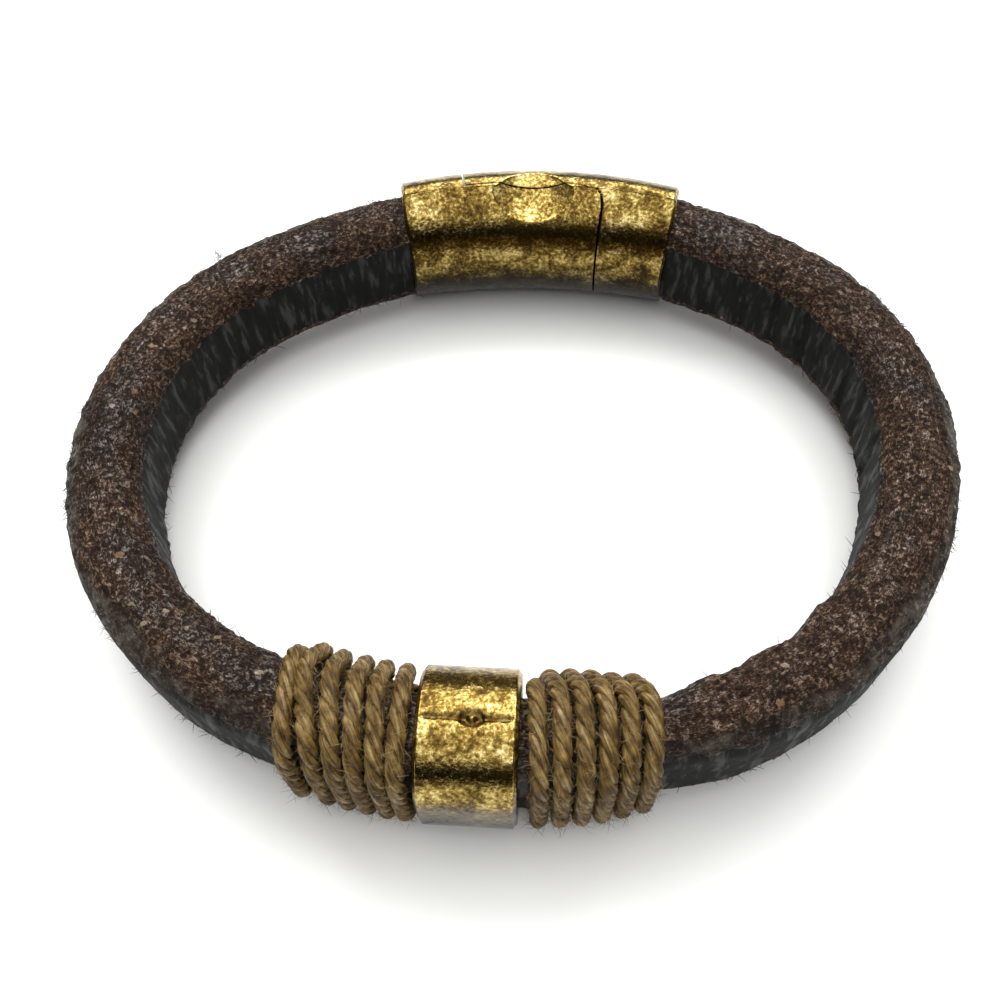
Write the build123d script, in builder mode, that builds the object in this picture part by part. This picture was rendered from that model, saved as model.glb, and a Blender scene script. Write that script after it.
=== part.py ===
from build123d import *
from collections import namedtuple
from math import asin, atan2, cos, degrees, hypot, pi, radians, sin, tan
import os

# A bracelet of thick leather strap, bent to a closed oval and lying on a surface at Z = 0.
# +X is the oval's long way, +Y is towards the clasp at the back, and the bead is at the front.

os.makedirs("parts", exist_ok=True)

# Leather strap, standing on edge
strap_thickness = 6.4
strap_width = 10.0
strap_corner_radius = 2.3
socket_depth = 5.0
strap_fit = 0.1
strap_end_gap = 0.2

# Antique brass castings
clasp_thickness = 9.5
clasp_height = 13.5
clasp_inset = 0.3
bead_thickness = 10.6
bead_height = 13.5
bead_inset = 0.5
bead_length = 7.3
bead_flat = 0.1
bead_overshoot = 1.0
rim_bevel = 0.35

# Clasp, as lengths along the strap's middle line from the bead's left end
clasp_hook_end = 89.3
clasp_seam = 95.9
clasp_notch = 109.7
clasp_body_end = 115.3
lap_offset = -0.35
lap_gap = 0.2
lap_corner_radius = 3.2
clasp_reach = 8.0
clasp_inner_radius = 61.0
clasp_inner_half = 12.4
clasp_round = 4.15
end_allowance = 2.0
cut_margin = 1.0

# Thumb scoop in the clasp's upper edge
scoop_station = 102.9
scoop_radius = 7.0
scoop_tilt = 18.5
scoop_floor_offset = -0.5
scoop_floor_height = 12.6
scoop_reach = 8.0

# Magnet discs between the lapping halves
magnet_diameter = 5.0
magnet_thickness = 1.8
magnet_recess = 0.1
magnet_fit = 0.05
pocket_mouth = 1.0

# Waxed cord wound round the strap on each side of the bead
cord_diameter = 1.3
cord_gap = 0.1
turns_per_wrap = 6
tail_spacing = 1.6
tail_bend_radius = 1.6
tail_stub = 0.3
first_rise_shift = 0.15
last_rise_shift = 0.35
bow_height = 3.0
bow_radius = 3.5
bow_gap = 0.22
tail_run_radius = 25.0

# Heights of the middle of the strap and of its underside
mid_height = clasp_height / 2
strap_bottom = mid_height - strap_width / 2

# Plan of the strap's middle line: tangent arcs, counter-clockwise from the bead's left end.
# The last two radii are worked out, so that the chain closes.
Arc = namedtuple("Arc", "name turn radius")
plan_start_x = -7.56
plan_start_y = -26.50
plan_start_heading = -8.5
plan_arcs = [
    Arc("front", 17.3, 61.0),
    Arc("front_right", 79.0, 28.0),
    Arc("right", 50.0, 22.0),
    Arc("back", 60.0, 39.5),
    Arc("back_left", 12.0, 58.0),
    Arc("left", 73.0, 24.0),
    Arc("front_left", 49.0, None),
    Arc("front_end", 19.7, None),
]

# Hollows in the strap's walls: where the cord pinches it, and where it buckles at the front right
Hollow = namedtuple("Hollow", "side station depth half_length")
hollows = [
    Hollow("inner", 17.4, 1.00, 6.2),
    Hollow("outer", 17.4, 0.45, 6.2),
    Hollow("inner", 24.2, 0.45, 3.4),
    Hollow("inner", 30.3, 0.45, 3.6),
    Hollow("inner", 36.8, 0.25, 3.6),
]
hollow_range = (8.0, 44.0)
hollow_steps = 36

# Windings: station of the first turn and the way from turn to turn, on the strap's two faces
Winding = namedtuple("Winding", "name inner_first inner_pitch outer_first outer_pitch")
windings = [
    Winding("cord_wrap_left", 185.8, 1.80, 187.4, 1.55),
    Winding("cord_wrap_right", 8.7, 1.60, 8.65, 1.50),
]

PlanArc = namedtuple("PlanArc", "x y heading turn radius station")


def closing_radii(arcs, heading):
    """Radii of the last two arcs that bring the chain back to its start."""
    reach_x, reach_y, steps = 0.0, 0.0, []
    for arc in arcs:
        turned = heading + radians(arc.turn)
        step = (sin(turned) - sin(heading), cos(heading) - cos(turned))
        if arc.radius:
            reach_x += arc.radius * step[0]
            reach_y += arc.radius * step[1]
        else:
            steps.append(step)
        heading = turned
    (ax, ay), (bx, by) = steps
    scale = ax * by - ay * bx
    return (bx * reach_y - by * reach_x) / scale, (ay * reach_x - ax * reach_y) / scale


def closed_plan(arcs, x, y, heading):
    """The chain's arcs with their start points, headings, radii and stations."""
    free_radii = list(closing_radii(arcs, heading))
    plan, station = [], 0.0
    for arc in arcs:
        radius = arc.radius or free_radii.pop(0)
        turn = radians(arc.turn)
        plan.append(PlanArc(x, y, heading, turn, radius, station))
        x += radius * (sin(heading + turn) - sin(heading))
        y += radius * (cos(heading) - cos(heading + turn))
        heading += turn
        station += radius * turn
    return plan, station


plan, plan_length = closed_plan(plan_arcs, plan_start_x, plan_start_y, radians(plan_start_heading))


def plan_heading(station):
    """Position and heading of the middle line at a station, which may pass the chain's end."""
    station %= plan_length
    arc = [a for a in plan if a.station <= station][-1]
    heading = arc.heading + (station - arc.station) / arc.radius
    x = arc.x + arc.radius * (sin(heading) - sin(arc.heading))
    y = arc.y + arc.radius * (cos(arc.heading) - cos(heading))
    return x, y, heading


def ring_point(station, outward, height):
    """A point by its station, its distance outward from the middle line, and its height."""
    x, y, heading = plan_heading(station)
    return Vector(x + outward * sin(heading), y - outward * cos(heading), height)


def section_plane(station):
    """The plane across the strap at mid height: its X points outward and its Y points up."""
    heading = plan_heading(station)[2]
    return Plane(
        origin=ring_point(station, 0, mid_height),
        x_dir=(sin(heading), -cos(heading), 0),
        z_dir=(-cos(heading), -sin(heading), 0),
    )


def named_arc(name):
    """One arc of the plan by its name."""
    return plan[[arc.name for arc in plan_arcs].index(name)]


def arc_axis(name):
    """The vertical axis about which one named arc of the plan turns."""
    arc = named_arc(name)
    centre = (arc.x - arc.radius * sin(arc.heading), arc.y + arc.radius * cos(arc.heading), 0)
    return Axis(centre, (0, 0, 1))


def arc_turn(name, start, end):
    """Degrees turned on one named arc between two stations."""
    return degrees((end - start) / named_arc(name).radius)


def stretch_stations(start, end):
    """Stations where the plan's arcs meet between a start and an end, with both of them."""
    joints = [a.station + lap * plan_length for lap in (0, 1) for a in plan]
    return [start] + [s for s in sorted(joints) if start < s < end] + [end]


def strip(start, end, inner, outer):
    """A face along the plan between two stations and two distances outward."""
    stations = stretch_stations(start, end)
    with BuildLine() as outline:
        for first, last in zip(stations, stations[1:]):
            middle = (first + last) / 2
            ThreePointArc(*[ring_point(s, outer, 0) for s in (first, middle, last)])
            ThreePointArc(*[ring_point(s, inner, 0) for s in (first, middle, last)])
        for s in (start, end):
            Line(ring_point(s, inner, 0), ring_point(s, outer, 0))
    make_face(outline.edges())


def nearest_vertex(sketch, point):
    """The vertex of a sketch that lies nearest to a point."""
    return sketch.vertices().sort_by(lambda v: (Vector(*v) - point).length)[0]


def pressed_in(side, station):
    """How far one wall of the strap is pressed in at a station."""
    depth = 0.0
    for hollow in hollows:
        away = abs(station - hollow.station) / hollow.half_length
        if hollow.side == side and away < 1:
            depth += hollow.depth * (1 + cos(pi * away)) / 2
    return depth


def wall_point(side, station):
    """A point of the strap's wall in plan."""
    half = strap_thickness / 2 - pressed_in(side, station)
    return ring_point(station, half if side == "outer" else -half, 0)


def hollowed_wall(side):
    """The strap's wall along the stretch with hollows, tangent to the plain wall at both ends."""
    first, last = hollow_range
    step = (last - first) / hollow_steps
    headings = [plan_heading(station)[2] for station in hollow_range]
    Spline(
        *[wall_point(side, first + step * k) for k in range(hollow_steps + 1)],
        tangents=[(cos(heading), sin(heading), 0) for heading in headings],
    )


def plain_wall(side, start, end):
    """The strap's wall between two stations, an arc for each arc of the plan."""
    stations = stretch_stations(start, end)
    for first, last in zip(stations, stations[1:]):
        ThreePointArc(*[wall_point(side, s) for s in (first, (first + last) / 2, last)])


strap_start = clasp_body_end - socket_depth + strap_end_gap
strap_end = clasp_hook_end + socket_depth - strap_end_gap

# Strap
with BuildPart() as leather_band:
    with BuildSketch(Plane.XY.offset(strap_bottom)):
        with BuildLine():
            for side in ("inner", "outer"):
                plain_wall(side, strap_start, plan_length + hollow_range[0])
                hollowed_wall(side)
                plain_wall(side, hollow_range[1], strap_end)
            for station in (strap_start, strap_end):
                Line(wall_point("inner", station), wall_point("outer", station))
        make_face()
    extrude(amount=strap_width)
    long_edges = edges().filter_by(Plane.XY).filter_by(GeomType.LINE, reverse=True)
    fillet(long_edges, radius=strap_corner_radius)

leather_band.part.label = "leather_band"
export_step(leather_band.part, "parts/leather_band.step")


def strap_hole():
    """Section of the hole that the strap fits."""
    RectangleRounded(
        strap_thickness + 2 * strap_fit, strap_width + 2 * strap_fit, strap_corner_radius + strap_fit
    )


# Slider bead: straight outside, with parallel ends
with BuildPart() as slider_bead:
    with BuildSketch(section_plane(bead_length / 2)):
        with Locations((-bead_inset, 0)):
            RectangleRounded(bead_thickness, bead_height, bead_thickness / 2 - bead_flat)
    extrude(amount=bead_length / 2, both=True)
    end_edges = faces().filter_by(GeomType.PLANE).filter_by(Axis.Z, reverse=True).edges()
    chamfer(end_edges, length=rim_bevel)
    with BuildSketch(section_plane(-bead_overshoot)):
        strap_hole()
    hole_turn = arc_turn("front", -bead_overshoot, bead_length + bead_overshoot)
    revolve(axis=arc_axis("front"), revolution_arc=hole_turn, mode=Mode.SUBTRACT)

slider_bead.part.label = "slider_bead"
export_step(slider_bead.part, "parts/slider_bead.step")


def thumb_scoop():
    """Round hollow across the upper edge, sloping down towards the inside of the bracelet."""
    section = section_plane(scoop_station)
    outward, upward = section.x_dir, section.y_dir
    tilt = radians(scoop_tilt)
    floor = ring_point(scoop_station, scoop_floor_offset, scoop_floor_height)
    centre = floor + (upward * cos(tilt) - outward * sin(tilt)) * scoop_radius
    slope = Plane(centre, x_dir=section.z_dir, z_dir=outward * cos(tilt) + upward * sin(tilt))
    with BuildSketch(slope) as round_section:
        Circle(scoop_radius)
    extrude(round_section.sketch, amount=scoop_reach, both=True, mode=Mode.SUBTRACT)


clasp_middle = (clasp_hook_end + clasp_body_end) / 2
clasp_outer_face = clasp_thickness / 2 - clasp_inset
clasp_inner_face = -clasp_thickness / 2 - clasp_inset
blank_start = clasp_hook_end - end_allowance
blank_end = clasp_body_end + end_allowance
middle_section = section_plane(clasp_middle)
inner_arc_centre = ring_point(clasp_middle, clasp_inner_face - clasp_inner_radius, 0)


def inner_arc_point(along):
    """A point of the clasp's flatter inner face in plan, at a distance along it from its middle."""
    turn = along / clasp_inner_radius
    return inner_arc_centre + (
        middle_section.x_dir * cos(turn) - middle_section.z_dir * sin(turn)
    ) * clasp_inner_radius


# Whole clasp before it is parted: its outer side follows the strap, and its inner side is flatter
with BuildPart() as clasp_form:
    with BuildSketch(Plane.XY):
        with BuildLine():
            outer_ends = [ring_point(s, clasp_outer_face, 0) for s in (clasp_hook_end, clasp_body_end)]
            inner_ends = [inner_arc_point(along) for along in (-clasp_inner_half, clasp_inner_half)]
            ThreePointArc(outer_ends[0], ring_point(clasp_middle, clasp_outer_face, 0), outer_ends[1])
            ThreePointArc(inner_ends[0], inner_arc_point(0), inner_ends[1])
            Line(outer_ends[0], inner_ends[0])
            Line(outer_ends[1], inner_ends[1])
        make_face()
    extrude(amount=clasp_height)
    fillet(edges().filter_by(GeomType.CIRCLE), radius=clasp_round)
    end_faces = faces().filter_by(GeomType.PLANE).filter_by(Axis.Z, reverse=True)
    chamfer(end_faces.edges(), length=rim_bevel)
    thumb_scoop()


def strap_socket(start, end):
    """The socket for one end of the strap, between two stations."""
    with BuildSketch(section_plane(start)) as hole:
        strap_hole()
    revolve(
        hole.sketch,
        axis=arc_axis("back"),
        revolution_arc=arc_turn("back", start, end),
        mode=Mode.SUBTRACT,
    )


magnet_station = (clasp_seam + clasp_notch) / 2
magnet_section = section_plane(magnet_station)


def magnet_plane(outward):
    """The plane of a magnet's face at a distance outward from the strap's middle line."""
    return Plane(
        ring_point(magnet_station, outward, mid_height),
        x_dir=magnet_section.z_dir,
        z_dir=magnet_section.x_dir,
    )


body_magnet_face = lap_offset - magnet_recess
hook_magnet_face = lap_offset + lap_gap + magnet_recess
pocket_depth = magnet_thickness + magnet_fit

# Clasp body, whose outer half is cut back for the hook's plate
with BuildPart() as clasp_body:
    with BuildSketch(Plane.XY.offset(-cut_margin)) as body_plan:
        strip(clasp_seam, blank_end, -clasp_reach, lap_offset)
        strip(clasp_notch, blank_end, -clasp_reach, clasp_reach)
        fillet(nearest_vertex(body_plan, ring_point(clasp_seam, lap_offset, 0)), radius=lap_corner_radius)
    extrude(amount=clasp_height + 2 * cut_margin)
    add(clasp_form.part, mode=Mode.INTERSECT)
    strap_socket(clasp_body_end - socket_depth, blank_end)
    with BuildSketch(magnet_plane(body_magnet_face - pocket_depth)):
        Circle(magnet_diameter / 2 + magnet_fit)
    extrude(amount=pocket_depth + pocket_mouth, mode=Mode.SUBTRACT)

clasp_body.part.label = "clasp_body"
export_step(clasp_body.part, "parts/clasp_body.step")

# Clasp hook, with the plate that laps over the body's outer side
with BuildPart() as clasp_hook:
    with BuildSketch(Plane.XY.offset(-cut_margin)) as hook_plan:
        strip(blank_start, clasp_seam - lap_gap, -clasp_reach, clasp_reach)
        strip(blank_start, clasp_notch - lap_gap, lap_offset + lap_gap, clasp_reach)
        fillet(
            nearest_vertex(hook_plan, ring_point(clasp_seam - lap_gap, lap_offset + lap_gap, 0)),
            radius=lap_corner_radius + lap_gap,
        )
    extrude(amount=clasp_height + 2 * cut_margin)
    add(clasp_form.part, mode=Mode.INTERSECT)
    strap_socket(blank_start, clasp_hook_end + socket_depth)
    with BuildSketch(magnet_plane(hook_magnet_face + pocket_depth)):
        Circle(magnet_diameter / 2 + magnet_fit)
    extrude(amount=-pocket_depth - pocket_mouth, mode=Mode.SUBTRACT)

clasp_hook.part.label = "clasp_hook"
export_step(clasp_hook.part, "parts/clasp_hook.step")

# Magnets, one in each half
with BuildPart() as clasp_magnet_body:
    with BuildSketch(magnet_plane(body_magnet_face - magnet_thickness)):
        Circle(magnet_diameter / 2)
    extrude(amount=magnet_thickness)

clasp_magnet_body.part.label = "clasp_magnet_body"
export_step(clasp_magnet_body.part, "parts/clasp_magnet_body.step")

with BuildPart() as clasp_magnet_hook:
    with BuildSketch(magnet_plane(hook_magnet_face)):
        Circle(magnet_diameter / 2)
    extrude(amount=magnet_thickness)

clasp_magnet_hook.part.label = "clasp_magnet_hook"
export_step(clasp_magnet_hook.part, "parts/clasp_magnet_hook.step")

# Line of a cord turn round the strap, as distances from the strap's middle
corner_out = strap_thickness / 2 - strap_corner_radius
corner_up = strap_width / 2 - strap_corner_radius
hug_radius = strap_corner_radius + cord_gap + cord_diameter / 2
hug_out = corner_out + hug_radius
hug_up = corner_up + hug_radius
bow_out = hug_out + cord_diameter + bow_gap
bow_up = bow_height / 2
bow_slope = atan2(corner_up - bow_up, bow_out - corner_out) + asin(
    hug_radius / hypot(corner_up - bow_up, bow_out - corner_out)
)
bow_corner_out = corner_out + hug_radius * tan(bow_slope / 2)


def winding_route(winding):
    """Corner points of one cord and the radii at them: a tail under the turns, the turns, a tail."""
    upper_tail, lower_tail = tail_spacing / 2, -tail_spacing / 2
    last = turns_per_wrap - 1
    inner = [winding.inner_first + winding.inner_pitch * k for k in range(turns_per_wrap)]
    outer = [winding.outer_first + winding.outer_pitch * k for k in range(turns_per_wrap)]
    first_rise, last_rise = inner[0] - first_rise_shift, inner[last] + last_rise_shift
    middle = (inner[0] + inner[last]) / 2

    def inside(station, distance):
        return station, pressed_in("inner", station) - distance

    points = [
        (*inside(inner[last] + tail_stub, hug_out), upper_tail, None),
        (*inside(middle, hug_out), upper_tail, tail_run_radius),
        (*inside(first_rise, hug_out), upper_tail, tail_bend_radius),
        (*inside(first_rise, hug_out), hug_up, hug_radius),
    ]
    for k in range(turns_per_wrap):
        outside = hug_out - pressed_in("outer", outer[k])
        points += [(outer[k], outside, hug_up, hug_radius), (outer[k], outside, -hug_up, hug_radius)]
        if k < last:
            step = winding.inner_pitch / 3
            points += [
                (*inside(inner[k], bow_corner_out), -hug_up, hug_radius),
                (*inside(inner[k] + step, bow_out), -bow_up, bow_radius),
                (*inside(inner[k] + 2 * step, bow_out), bow_up, bow_radius),
                (*inside(inner[k + 1], bow_corner_out), hug_up, hug_radius),
            ]
    points += [
        (*inside(last_rise, hug_out), -hug_up, hug_radius),
        (*inside(last_rise, hug_out), lower_tail, tail_bend_radius),
        (*inside(middle, hug_out), lower_tail, tail_run_radius),
        (*inside(first_rise - tail_stub, hug_out), lower_tail, None),
    ]
    corners = [ring_point(s, u, mid_height + v) for s, u, v, radius in points]
    return corners, [point[3] for point in points[1:-1]]


cord_section_area = pi * cord_diameter**2 / 4

for winding in windings:
    corners, radii = winding_route(winding)
    with BuildPart() as cord_wrap:
        with BuildLine() as cord_line:
            FilletPolyline(*corners, radius=radii)
        route = cord_line.wires()[0]
        with BuildSketch(Plane(route @ 0, z_dir=route % 0)):
            Circle(cord_diameter / 2)
        sweep()
    bend_radii = sorted({round(radius, 2) for radius in radii})
    print(winding.name, "radii", bend_radii, "length", round(route.length, 1))
    print("volume", cord_wrap.part.volume, "section times length", cord_section_area * route.length)
    cord_wrap.part.label = winding.name
    export_step(cord_wrap.part, f"parts/{winding.name}.step")
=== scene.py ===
import math
import random

import bpy
import numpy as np
from mathutils import Matrix, Vector, noise


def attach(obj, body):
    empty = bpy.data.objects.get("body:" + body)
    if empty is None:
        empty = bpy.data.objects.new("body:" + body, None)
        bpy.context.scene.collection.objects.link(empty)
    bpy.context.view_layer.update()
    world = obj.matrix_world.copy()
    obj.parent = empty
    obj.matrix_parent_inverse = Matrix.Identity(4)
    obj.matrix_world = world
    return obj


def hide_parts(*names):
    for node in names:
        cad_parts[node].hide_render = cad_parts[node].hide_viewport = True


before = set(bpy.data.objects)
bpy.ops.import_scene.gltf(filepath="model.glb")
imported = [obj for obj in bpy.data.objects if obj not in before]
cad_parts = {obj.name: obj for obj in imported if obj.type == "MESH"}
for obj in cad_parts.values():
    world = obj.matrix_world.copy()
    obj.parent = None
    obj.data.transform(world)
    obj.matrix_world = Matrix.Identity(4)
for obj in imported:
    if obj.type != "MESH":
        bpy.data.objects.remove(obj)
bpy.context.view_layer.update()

mm = 0.001
scene = bpy.context.scene
print("frame loaded")

# shared helpers


class Flow:
    # a socket that can stand in a sum, a difference or a product
    def __init__(self, tree, socket):
        self.tree = tree
        self.socket = socket

    def maths(self, operation, *terms):
        node = self.tree.nodes.new("ShaderNodeMath")
        node.operation = operation
        for slot, term in zip(node.inputs, terms):
            if isinstance(term, Flow):
                self.tree.links.new(term.socket, slot)
            else:
                slot.default_value = term
        return Flow(self.tree, node.outputs[0])

    def __add__(self, other):
        return self.maths("ADD", self, other)

    def __radd__(self, other):
        return self.maths("ADD", other, self)

    def __sub__(self, other):
        return self.maths("SUBTRACT", self, other)

    def __rsub__(self, other):
        return self.maths("SUBTRACT", other, self)

    def __mul__(self, other):
        return self.maths("MULTIPLY", self, other)

    def __rmul__(self, other):
        return self.maths("MULTIPLY", other, self)


class Finish:
    # a material, or the world, and the nodes that make it
    def __init__(self, name, owner=None):
        self.owner = owner or bpy.data.materials.new(name)
        self.owner.use_nodes = True
        self.tree = self.owner.node_tree
        self.shader = self.tree.nodes.get("Principled BSDF") or self.tree.nodes.get("Background")

    def make(self, kind, settings=None, values=None, outlet=0):
        node = self.tree.nodes.new(kind)
        for name, value in (settings or {}).items():
            if name == "stops":
                self.setStops(node.color_ramp, value)
            else:
                setattr(node, name, value)
        for key, value in (values or {}).items():
            self.feed(node.inputs[key], value)
        return Flow(self.tree, node.outputs[outlet])

    def feed(self, socket, value):
        if isinstance(value, Flow):
            self.tree.links.new(value.socket, socket)
        elif socket.type == "RGBA" and len(value) == 3:
            socket.default_value = (*value, 1.0)
        else:
            socket.default_value = value

    def setStops(self, ramp, stops):
        while len(ramp.elements) < len(stops):
            ramp.elements.new(0.5)
        for element, (place, colour) in zip(ramp.elements, stops):
            element.position = place
            element.color = (*colour, 1.0) if len(colour) == 3 else colour

    def blend(self, factor, first, second, how="MIX"):
        settings = {"data_type": "RGBA", "blend_type": how, "clamp_factor": True}
        return self.make("ShaderNodeMix", settings, {0: factor, 6: first, 7: second}, outlet=2)

    def noise(self, where, scale, detail=4.0, rough=0.55, twist=0.0):
        values = {"Vector": where, "Scale": scale, "Detail": detail}
        values |= {"Roughness": rough, "Distortion": twist}
        return self.make("ShaderNodeTexNoise", None, values)

    def cells(self, where, scale, outlet=0):
        values = {"Vector": where, "Scale": scale, "Randomness": 1.0}
        return self.make("ShaderNodeTexVoronoi", {"feature": "F1"}, values, outlet)

    def stretch(self, where, factors, turn=(0.0, 0.0, 0.0)):
        values = {"Vector": where, "Scale": factors, "Rotation": turn}
        return self.make("ShaderNodeMapping", None, values)

    def ease(self, value, low, high):
        settings = {"interpolation_type": "SMOOTHSTEP"}
        return self.make("ShaderNodeMapRange", settings, {0: value, 1: low, 2: high})

    def attribute(self, name, outlet="Fac"):
        node = self.tree.nodes.new("ShaderNodeAttribute")
        node.attribute_name = name
        return Flow(self.tree, node.outputs[outlet])

    def objectPlace(self):
        return self.make("ShaderNodeTexCoord", None, None, outlet=3)

    def bump(self, height, strength, distance):
        values = {"Height": height, "Strength": strength, "Distance": distance}
        return self.make("ShaderNodeBump", None, values)

    def set(self, **values):
        for name, value in values.items():
            self.feed(self.shader.inputs[name.replace("_", " ")], value)
        return self.owner


def deselect():
    if bpy.context.object and bpy.context.object.mode != "OBJECT":
        bpy.ops.object.mode_set(mode="OBJECT")
    bpy.ops.object.select_all(action="DESELECT")


def activate(piece):
    deselect()
    piece.select_set(True)
    bpy.context.view_layer.objects.active = piece


def points(mesh):
    places = np.empty(len(mesh.vertices) * 3)
    mesh.vertices.foreach_get("co", places)
    return places.reshape(-1, 3)


def setPoints(mesh, places):
    mesh.vertices.foreach_set("co", np.ascontiguousarray(places, dtype=np.float64).ravel())
    mesh.update()


def smoothShade(piece, degrees=180.0):
    activate(piece)
    bpy.ops.object.shade_smooth_by_angle(angle=math.radians(degrees))


def finishPiece(piece, material, slotName, *stands):
    piece.data.materials.clear()
    piece.data.materials.append(material)
    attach(piece, "root")
    if stands:
        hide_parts(*stands)
    return piece


def writeAttribute(mesh, name, values):
    layer = mesh.attributes.new(name=name, type="FLOAT", domain="POINT")
    layer.data.foreach_set("value", np.asarray(values, dtype=np.float32))


def noiseAt(places, scale, octaves=1, seed=0.0):
    # fractal noise between about -1 and 1 at every row of places, given in millimetres
    total = np.zeros(len(places))
    size, weight = scale, 1.0
    for step in range(octaves):
        shifted = places / size + seed + 17.0 * step
        total += weight * np.array([noise.noise(Vector(p)) for p in shifted])
        size, weight = size / 2, weight / 2
    return total


def ease(value, low, high):
    t = np.clip((value - low) / (high - low), 0.0, 1.0)
    return t * t * (3 - 2 * t)


# plan of the strap: arcs that follow one another round the wrist

plan = {
    "start": (-7.56, -26.50),
    "heading": -8.5,
    "arcs": [
        (17.3, 61.0), (79.0, 28.0), (50.0, 22.0), (60.0, 39.5),
        (12.0, 58.0), (73.0, 24.0), (49.0, None), (19.7, None),
    ],
    "middleHeight": 6.75,
    "claspArc": 3,  # the arc that the clasp lies on
}


def closedArcs():
    # start, heading, turn, radius and station of each arc; the last two radii close the ring
    heading, reach, free = math.radians(plan["heading"]), [0.0, 0.0], []
    for degrees, radius in plan["arcs"]:
        turned = heading + math.radians(degrees)
        step = (math.sin(turned) - math.sin(heading), math.cos(heading) - math.cos(turned))
        if radius:
            reach = [reach[0] + radius * step[0], reach[1] + radius * step[1]]
        else:
            free.append(step)
        heading = turned
    (ax, ay), (bx, by) = free
    scale = ax * by - ay * bx
    solved = [(bx * reach[1] - by * reach[0]) / scale, (ay * reach[0] - ax * reach[1]) / scale]
    (x, y), heading, station, rows = plan["start"], math.radians(plan["heading"]), 0.0, []
    for degrees, radius in plan["arcs"]:
        radius, turn = radius or solved.pop(0), math.radians(degrees)
        rows.append((x, y, heading, turn, radius, station))
        x += radius * (math.sin(heading + turn) - math.sin(heading))
        y += radius * (math.cos(heading) - math.cos(heading + turn))
        heading += turn
        station += radius * turn
    return np.array(rows), station


arcs, ringLength = closedArcs()


def arcCentre(row):
    x, y, heading, turn, radius, station = row
    return np.array((x - radius * math.sin(heading), y + radius * math.cos(heading)))


def headings(stations):
    # place and heading of the strap's middle line
    stations = np.mod(np.asarray(stations, dtype=float), ringLength)
    row = arcs[np.clip(np.searchsorted(arcs[:, 5], stations, side="right") - 1, 0, len(arcs) - 1)]
    heading = row[..., 2] + (stations - row[..., 5]) / row[..., 4]
    x = row[..., 0] + row[..., 4] * (np.sin(heading) - np.sin(row[..., 2]))
    y = row[..., 1] + row[..., 4] * (np.cos(row[..., 2]) - np.cos(heading))
    return x, y, heading


def ringPlace(stations, outward, height):
    # rows of x, y, z in millimetres; height counts from the middle of the strap
    x, y, heading = headings(stations)
    x, y = x + outward * np.sin(heading), y - outward * np.cos(heading)
    return np.stack([x, y, height + plan["middleHeight"]], -1)


hollows = [  # side, station, depth, half length
    ("inner", 17.4, 1.00, 6.2),
    ("outer", 17.4, 0.45, 6.2),
    ("inner", 24.2, 0.45, 3.4),
    ("inner", 30.3, 0.45, 3.6),
    ("inner", 36.8, 0.25, 3.6),
]


def pressedIn(side, stations):
    depth = np.zeros(np.shape(stations))
    for where, station, deep, half in hollows:
        away = np.abs(np.mod(stations, ringLength) - station) / half
        depth += (where == side) * (away < 1) * deep * (1 + np.cos(np.pi * np.minimum(away, 1))) / 2
    return depth


# camera, floor, light

photo = {
    "place": (-0.945, -50.319, 79.348),
    "aim": (-1.135, -4.902, 6.75),
    "roll": -2.22,
    "lens": 35.93,
}


def addCamera():
    data = bpy.data.cameras.new("photoCamera")
    camera = bpy.data.objects.new("photoCamera", data)
    scene.collection.objects.link(camera)
    place, aim = Vector(photo["place"]) * mm, Vector(photo["aim"]) * mm
    toward = (aim - place).to_track_quat("-Z", "Y").to_matrix().to_4x4()
    roll = Matrix.Rotation(math.radians(photo["roll"]), 4, "Z")
    camera.matrix_world = Matrix.Translation(place) @ toward @ roll
    data.lens = photo["lens"]
    data.sensor_width = 36.0
    data.clip_start = 0.001
    data.clip_end = 20.0
    scene.camera = camera


addCamera()

studio = {
    "floorColour": (0.86, 0.865, 0.85),
    "floorSize": 6.0,
    "floorGrain": 0.985,
    "skyFront": 1.75,
    "skyBack": 3.9,
    "skyRight": 0.42,
    "skyLeft": 0.22,
    "skyRear": 0.10,
    "skyDark": 0.01,
    "bandTop": 0.63,
    "bandTopRear": 0.42,
    "bandSoft": 0.05,
    "backRange": (-0.4, 0.45),  # from the front to the back of the sky
    "nearRange": (0.1, 0.55),
    "rearRange": (0.45, 0.85),
    "sideRange": (-0.5, 0.5),
    "wideRange": (0.10, 0.38),  # of east squared
    "panels": [  # name, place, size, watts
        ("windowPanel", (-0.22, 0.28, 0.45), (0.18, 0.13), 0.8),
        ("roomPanel", (0.25, 0.30, 0.45), (0.18, 0.13), 0.6),
    ],
}


def addFloor():
    deselect()
    bpy.ops.mesh.primitive_plane_add(size=studio["floorSize"], location=(0, 0, 0))
    floor = bpy.context.object
    floor.name = "paperFloor"
    bpy.ops.object.mode_set(mode="EDIT")
    bpy.ops.mesh.select_all(action="SELECT")
    bpy.ops.mesh.inset(thickness=0.3, depth=0.0)
    bpy.ops.object.mode_set(mode="OBJECT")
    paper = Finish("paperFinish")
    grain = paper.noise(paper.objectPlace(), 60.0, 3.0)
    shaded = tuple(studio["floorGrain"] * part for part in studio["floorColour"])
    tint = paper.blend(grain, studio["floorColour"], shaded)
    floor.data.materials.append(paper.set(Base_Color=tint, Roughness=0.6))


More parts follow.
